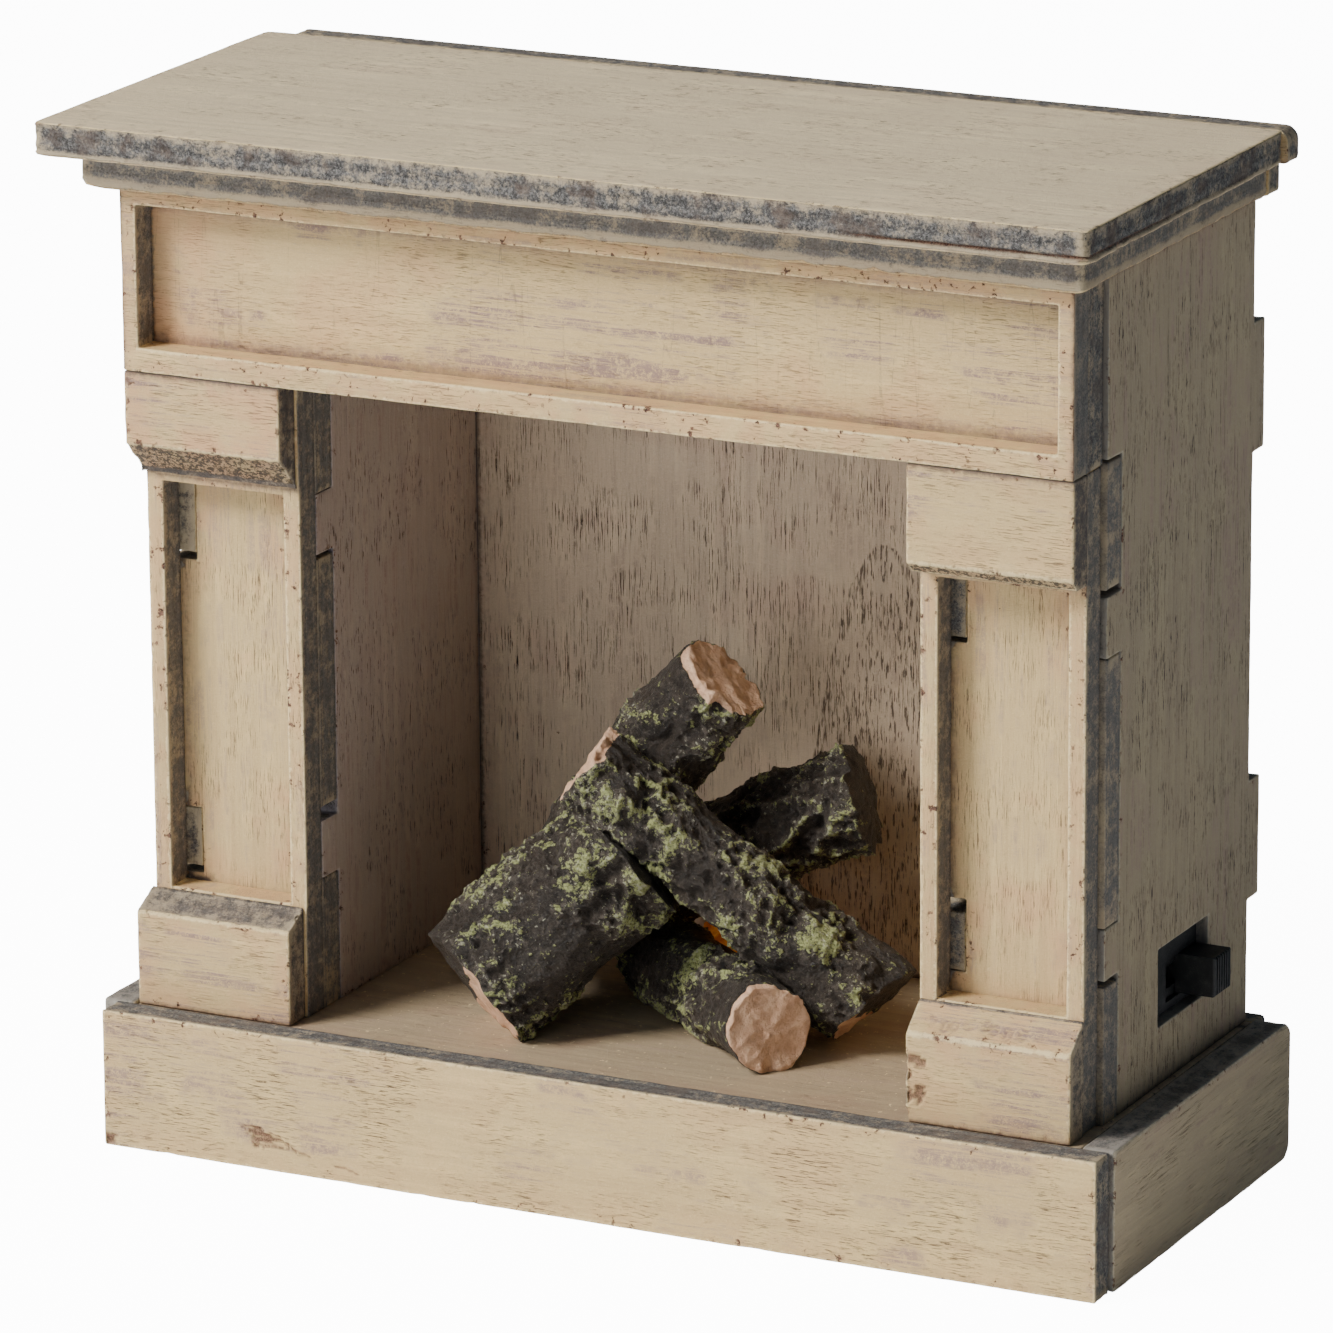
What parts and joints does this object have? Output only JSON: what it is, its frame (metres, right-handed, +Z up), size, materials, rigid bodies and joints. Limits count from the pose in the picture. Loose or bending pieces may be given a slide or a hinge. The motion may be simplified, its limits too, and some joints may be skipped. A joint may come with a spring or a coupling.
{
  "type": "miniature fireplace mantel",
  "caption": "Dolls' fireplace mantel of slotted painted plywood, moulded front, cast log fire over an amber lamp, side slide switch and rear battery box.",
  "frame": {"origin": "middle of the whole object's box, on the surface it stands on", "axes": "+X to the viewer's right along the shelf, +Y from the open front to the back, +Z up"},
  "size_m": [0.1678, 0.076, 0.1547],
  "materials": {
    "painted_ply": "chalky cream paint, rubbed through at the edges",
    "firebox_ply": "thin cream wash over open-pored veneer",
    "back_ply": "chalky cream paint",
    "painted_bark": "cast resin, dark bark paint with a dry-brushed green",
    "amber_resin": "clear amber resin",
    "amber_lamp": "clear",
    "tinned_lead": "tinned",
    "black_plastic": "moulded",
    "contact_brass": "stamped",
    "contact_steel": "plated spring strip",
    "phenolic_board": "phenolic sheet",
    "screw_steel": "zinc plated",
    "cell_jacket": "plain lacquered jacket",
    "red_insulation": "smooth",
    "black_insulation": "smooth"
  },
  "bodies": {
    "mantel": {"top_board": "painted_ply", "bed_moulding": "painted_ply", "frieze_frame": "painted_ply", "frieze_panel": "painted_ply", "cap_block_left": "painted_ply", "cap_block_right": "painted_ply", "base_block_left": "painted_ply", "base_block_right": "painted_ply", "pilaster_frame_left": "painted_ply", "pilaster_frame_right": "painted_ply", "front_panel": "painted_ply", "side_wall_left": "painted_ply", "side_wall_right": "painted_ply", "plinth_front": "painted_ply", "plinth_side_left": "painted_ply", "plinth_side_right": "painted_ply", "firebox_wall_left": "firebox_ply", "firebox_wall_right": "firebox_ply", "firebox_back": "firebox_ply", "hearth_floor": "firebox_ply", "back_panel": "back_ply", "log_large": "painted_bark", "log_rear": "painted_bark", "log_crossing": "painted_bark", "log_back": "painted_bark", "log_front": "painted_bark", "ember_bed": "amber_resin", "flame_lamp": "amber_lamp", "lamp_leads": "tinned_lead", "switch_housing": "black_plastic", "switch_board": "phenolic_board", "switch_terminals": "contact_brass", "battery_holder": "black_plastic", "battery_screws": "screw_steel", "battery_cell_lower": "cell_jacket", "battery_cell_upper": "cell_jacket", "battery_contact_bottom": "contact_steel", "battery_contact_top": "contact_steel", "wire_negative": "black_insulation", "wire_lamp": "red_insulation", "wire_positive": "red_insulation"},
    "switch_slider": {"switch_knob": "black_plastic", "switch_bridge": "contact_brass"},
    "lid": {"battery_lid": "black_plastic"}
  },
  "joints": [
    {"name": "switch_slide", "type": "slide", "parent": "mantel", "child": "switch_slider", "axis": [0, -1, 0], "range_m": [0, 0.0045]},
    {"name": "lid_pull", "type": "slide", "parent": "mantel", "child": "lid", "axis": [0, 1, 0], "range_m": [0, 0.03]}
  ]
}
